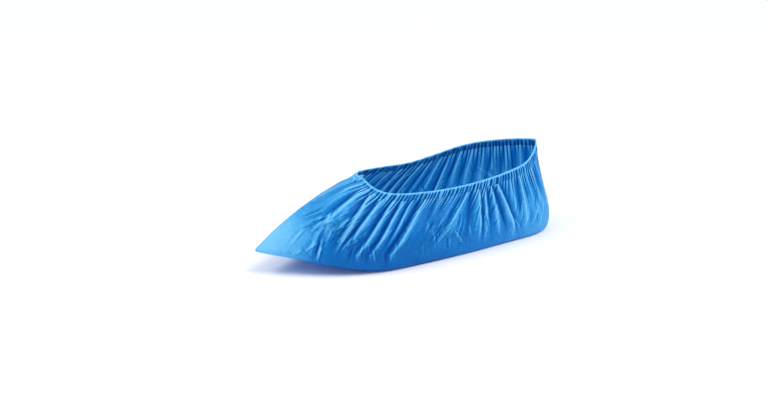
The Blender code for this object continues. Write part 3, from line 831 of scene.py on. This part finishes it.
def make_weld(name, seed, foot, out, tab_height, material):
    """A thin crimped strip of film that stands along a seam, taller and crumpled at the rim."""
    random = np.random.default_rng(seed)
    sheet = new_sheet()
    run = np.concatenate([[0.0], np.cumsum(np.linalg.norm(np.diff(foot, axis=0), axis=1))])
    steps = max(WELD_LEAST_STEPS, int(run[-1] / WELD_STEP))
    even = np.linspace(0.0, run[-1], steps)
    foot = np.column_stack([np.interp(even, run, line) for line in foot.T])
    out = unit(np.column_stack([np.interp(even, run, line) for line in out.T]))
    tab = 1 - rise(even, TAB_FROM, TAB_OVER)
    ragged = rough_field(random, (steps, WELD_ROWS), WELD_CELL)
    tall = SEAM_STAND + tab_height * tab * (1 + TAB_RAGGED * ragged[:, 0])
    sway = rough_field(random, (steps, WELD_ROWS), WELD_CELL)
    sway *= SWAY + SWAY_BY_HEIGHT * tall[:, None]
    crimped = np.where(np.arange(steps) % CRIMP_STEPS < CRIMP_STEPS / 2, CRIMP, -CRIMP)
    sway += crimped[:, None]
    leaning = unit(out + TAB_LEAN * tab[:, None] * (0.0, 1.0, 0.0)) if tab_height else out
    share = np.linspace(0.0, 1.0, WELD_ROWS)[None, :]
    grid = foot[:, None] + (tall[:, None] * share)[:, :, None] * leaning[:, None]
    grid[:, :, 0] += sway * share
    flat = np.stack(np.broadcast_arrays(even[:, None], share * WELD_WIDTH_FLAT), axis=2)
    # Painted light on the weld, with painted light and shade on the tab's crumples
    add_grid(sheet, grid, flat, WELD_PAINTED_LIGHT + TAB_PAINTED_SHADING * ragged * tab[:, None], FINE_ON_HEM, True)
    made = sheet_object(name, sheet, material)
    wall = made.modifiers.new("film wall", "SOLIDIFY")
    wall.thickness = WELD_WALL
    wall.offset = 0.0
    return made


def new_group(name, inputs, outputs):
    """An empty node group with these sockets, and its two end nodes."""
    group = bpy.data.node_groups.new(name, "ShaderNodeTree")
    for label, kind, value in inputs:
        socket = group.interface.new_socket(label, in_out="INPUT", socket_type=kind)
        if value is not None:
            socket.default_value = value
    for label, kind in outputs:
        group.interface.new_socket(label, in_out="OUTPUT", socket_type=kind)
    return group, group.nodes.new("NodeGroupInput"), group.nodes.new("NodeGroupOutput")


def math_node(tree, operation, *values):
    """A Math node whose inputs are sockets or numbers."""
    node = tree.nodes.new("ShaderNodeMath")
    node.operation = operation
    for socket, value in zip(node.inputs, values):
        if isinstance(value, (int, float)):
            socket.default_value = value
        else:
            tree.links.new(value, socket)
    return node.outputs[0]


def noise_node(tree, place, scale, detail, distortion=0.0):
    """Smooth noise round NOISE_MIDDLE at this place."""
    node = tree.nodes.new("ShaderNodeTexNoise")
    node.inputs["Scale"].default_value = scale
    node.inputs["Detail"].default_value = detail
    node.inputs["Distortion"].default_value = distortion
    tree.links.new(place, node.inputs["Vector"])
    return node.outputs["Fac"]


def add_diamonds(group, place, pitch):
    """Two crossed waves over the flat film."""
    split = group.nodes.new("ShaderNodeSeparateXYZ")
    group.links.new(place, split.inputs[0])
    waves = []
    for sign in ("ADD", "SUBTRACT"):
        slanted = math_node(group, sign, split.outputs["X"], split.outputs["Y"])
        turns = math_node(group, "DIVIDE", slanted, pitch)
        waves.append(math_node(group, "SINE", math_node(group, "MULTIPLY", turns, 2 * np.pi)))
    return math_node(group, "MULTIPLY", *waves)


def add_patches(group, place, crumpled):
    """How much the fine creases show: in uneven patches of what is crumpled."""
    shown = group.nodes.new("ShaderNodeMapRange")
    shown.interpolation_type = "SMOOTHSTEP"
    group.links.new(noise_node(group, place, PATCH_SCALE, PATCH_DETAIL), shown.inputs["Value"])
    shown.inputs["From Min"].default_value = PATCH_FROM
    shown.inputs["From Max"].default_value = PATCH_TO
    shown.inputs["To Min"].default_value = PATCH_LEAST
    return math_node(group, "MULTIPLY", shown.outputs["Result"], crumpled)


def add_creases(group, place, turn, fineness):
    """A set of fine creases: their lines, 1 on each, and how far a spot is off them."""
    drawn_out = group.nodes.new("ShaderNodeMapping")
    drawn_out.inputs["Rotation"].default_value = (0.0, 0.0, turn)
    drawn_out.inputs["Scale"].default_value = (*fineness, 1.0)
    group.links.new(place, drawn_out.inputs["Vector"])
    field = noise_node(group, drawn_out.outputs[0], 1.0, CREASE_DETAIL, CREASE_BEND)
    off = math_node(group, "SUBTRACT", field, NOISE_MIDDLE)
    steep = math_node(group, "MULTIPLY", math_node(group, "ABSOLUTE", off), CREASE_SHARP)
    return math_node(group, "MAXIMUM", math_node(group, "SUBTRACT", 1.0, steep), 0.0), off


def make_emboss_group():
    """The film's fine surface: diamond emboss and fine creases where it is crumpled, with painted
    light and shade on both, and mottling.
    """
    group, start, end = new_group(
        "film surface",
        [
            ("Vector", "NodeSocketVector", None),
            ("Pitch", "NodeSocketFloat", EMBOSS_PITCH),
            ("Crumpled", "NodeSocketFloat", 0.0),
        ],
        [("Height", "NodeSocketFloat"), ("Tone", "NodeSocketFloat")],
    )
    place = start.outputs["Vector"]
    diamonds = add_diamonds(group, place, start.outputs["Pitch"])
    height = math_node(group, "MULTIPLY", diamonds, EMBOSS_HEIGHT)
    # Painted light and shade of the diamond emboss
    tone = math_node(group, "MULTIPLY", diamonds, EMBOSS_PAINTED_SHADING)
    amount = add_patches(group, place, start.outputs["Crumpled"])
    for turn, *fineness in CREASE_SETS:
        line, off = add_creases(group, place, turn, fineness)
        raised = math_node(group, "MULTIPLY", line, FINE_HEIGHT)
        height = math_node(group, "MULTIPLY_ADD", raised, amount, height)
        # Painted highlight on each crease line and painted light and shade on its facets
        crease_painted_highlight = math_node(group, "MULTIPLY", line, FINE_PAINTED_HIGHLIGHT)
        facet_painted_shading = math_node(group, "MULTIPLY_ADD", off, FACET_PAINTED_SHADING, crease_painted_highlight)
        tone = math_node(group, "MULTIPLY_ADD", facet_painted_shading, amount, tone)
    for scale, share in MOTTLES:
        mottle = noise_node(group, place, scale, MOTTLE_DETAIL)
        lifted = math_node(group, "SUBTRACT", mottle, NOISE_MIDDLE)
        tone = math_node(group, "ADD", tone, math_node(group, "MULTIPLY", lifted, share))
    group.links.new(height, end.inputs["Height"])
    group.links.new(tone, end.inputs["Tone"])
    return group


def attribute_node(tree, name):
    """A value that the sheet carries at each of its points."""
    node = tree.nodes.new("ShaderNodeAttribute")
    node.attribute_name = name
    return node.outputs["Fac"]


def film_material(name, emboss, look):
    """Thin blue film: painted shade in its folds, painted highlights on its ridges, and some light
    comes through.
    """
    rough, clear, depth = look
    made = bpy.data.materials.new(name)
    made.use_nodes = True
    tree = made.node_tree
    nodes, links = tree.nodes, tree.links
    shader, output = nodes["Principled BSDF"], nodes["Material Output"]
    place = nodes.new("ShaderNodeUVMap")
    place.uv_map = "flat film"
    surface = nodes.new("ShaderNodeGroup")
    surface.node_tree = emboss
    links.new(place.outputs["UV"], surface.inputs["Vector"])
    links.new(attribute_node(tree, "crumpled"), surface.inputs["Crumpled"])
    # Painted highlights on ridges and painted shade in valleys, carried by the sheet
    painted_shading = attribute_node(tree, "painted_shading")
    share = math_node(tree, "MULTIPLY_ADD", painted_shading, PAINTED_SHADING_SHARE, LEVEL_SHARE)
    # The surface adds the painted shading of its emboss and creases, and mottling
    share = math_node(tree, "ADD", share, surface.outputs["Tone"])
    # The ramp runs from painted shade through the film's blue to painted highlights
    shade = nodes.new("ShaderNodeValToRGB")
    ramp = shade.color_ramp
    ramp.elements[0].position = TONE_STOPS[0]
    ramp.elements[1].position = TONE_STOPS[-1]
    for stop in TONE_STOPS[1:-1]:
        ramp.elements.new(stop)
    for element, tone in zip(ramp.elements, FILM_BLUE_AND_PAINTED_SHADING):
        element.color = tone
    links.new(share, shade.inputs["Fac"])
    bumps = nodes.new("ShaderNodeBump")
    bumps.inputs["Strength"].default_value = 1.0
    bumps.inputs["Distance"].default_value = depth
    links.new(surface.outputs["Height"], bumps.inputs["Height"])
    shader.inputs["Roughness"].default_value = rough
    shader.inputs["Specular IOR Level"].default_value = FILM_SPECULAR
    links.new(shade.outputs["Color"], shader.inputs["Base Color"])
    links.new(bumps.outputs["Normal"], shader.inputs["Normal"])
    glow = nodes.new("ShaderNodeBsdfTranslucent")
    links.new(shade.outputs["Color"], glow.inputs["Color"])
    links.new(bumps.outputs["Normal"], glow.inputs["Normal"])
    mixed = nodes.new("ShaderNodeMixShader")
    mixed.inputs["Fac"].default_value = clear
    links.new(shader.outputs["BSDF"], mixed.inputs[1])
    links.new(glow.outputs["BSDF"], mixed.inputs[2])
    links.new(mixed.outputs["Shader"], output.inputs["Surface"])
    return made


def plain_material(name, colour, rough):
    made = bpy.data.materials.new(name)
    made.use_nodes = True
    shader = made.node_tree.nodes["Principled BSDF"]
    shader.inputs["Base Color"].default_value = colour
    shader.inputs["Roughness"].default_value = rough
    return made


def make_lamp(name, kind, energy, aim):
    """A lamp that shines in the direction of aim."""
    data = bpy.data.lights.new(name, kind)
    data.energy = energy
    lamp = bpy.data.objects.new(name, data)
    lamp.rotation_euler = aim.to_track_quat("-Z", "Y").to_euler()
    bpy.context.scene.collection.objects.link(lamp)
    return lamp


def make_stage():
    """A plain pale floor, soft light from all round, a broad soft lamp and a lamp at the toe."""
    bpy.ops.mesh.primitive_plane_add(size=FLOOR_SIZE, location=(0.0, 0.0, FLOOR_HEIGHT))
    floor = bpy.context.object
    floor.name = "floor"
    floor.data.materials.append(plain_material("pale floor", FLOOR_COLOUR, FLOOR_ROUGHNESS))
    world = bpy.data.worlds.new("soft room")
    world.use_nodes = True
    world.node_tree.nodes["Background"].inputs["Color"].default_value = ROOM_COLOUR
    world.node_tree.nodes["Background"].inputs["Strength"].default_value = ROOM_LIGHT
    bpy.context.scene.world = world
    broad = make_lamp("broad lamp", "SUN", SUN_LIGHT, -Vector(SUN_PLACE))
    broad.data.angle = np.radians(SUN_SPREAD)
    place = Vector(TOE_LAMP_PLACE)
    toe = make_lamp("toe lamp", "AREA", TOE_LAMP_LIGHT, Vector(TOE_LAMP_AIM) - place)
    toe.data.size = TOE_LAMP_SIZE
    toe.location = place
    bpy.context.scene.view_settings.view_transform = "Standard"


def make_camera():
    """The camera at the photograph's angle, over a frame 768 pixels wide."""
    azimuth, elevation = np.radians(CAMERA_AZIMUTH), np.radians(CAMERA_ELEVATION)
    level = Vector((np.sin(azimuth), -np.cos(azimuth), 0.0))
    back = level * np.cos(elevation) + Vector(UP) * np.sin(elevation)
    right = Vector((np.cos(azimuth), np.sin(azimuth), 0.0))
    up = back.cross(right)
    data = bpy.data.cameras.new("camera")
    data.lens = CAMERA_LENS
    data.sensor_width = SENSOR_WIDTH
    camera = bpy.data.objects.new("camera", data)
    turn = Matrix((right, up, back)).transposed().to_4x4()
    camera.matrix_world = Matrix.Translation(CAMERA_PLACE) @ turn
    bpy.context.scene.collection.objects.link(camera)
    bpy.context.scene.camera = camera


def make_cover():
    """All pieces of the cover, each on its body and in place of its solid."""
    emboss = make_emboss_group()
    film_look = film_material("blue film", emboss, FILM_LOOK)
    hem_look = film_material("hem film", emboss, HEM_LOOK)
    weld_look = film_material("weld film", emboss, WELD_LOOK)
    thread_look = plain_material("elastic thread", THREAD_COLOUR, THREAD_ROUGHNESS)
    sides = [folded_film(OUTER), folded_film(INNER)]
    film = make_film(sides, film_look)
    hem = make_ring("hem_sheet", sides, hem_profile(), hem_look)
    elastic = make_ring("elastic_thread", sides, elastic_profile(), thread_look)
    toe = make_weld("toe_weld", TOE_WELD_SEED, *seam_foot(sides, 0), TAB_HEIGHT, weld_look)
    heel = make_weld("heel_weld", HEEL_WELD_SEED, *seam_foot(sides, -1), 0.0, weld_look)
    for piece, node, slot in (
        (film, "film_bag", "blue_film"),
        (hem, "gathered_hem", "hem_film"),
        (elastic, "elastic_band", "elastic"),
        (toe, "toe_seam", "weld_film"),
        (heel, "heel_seam", "weld_film"),
    ):
        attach(piece, "root")
        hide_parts(node)


make_stage()
make_camera()
make_cover()
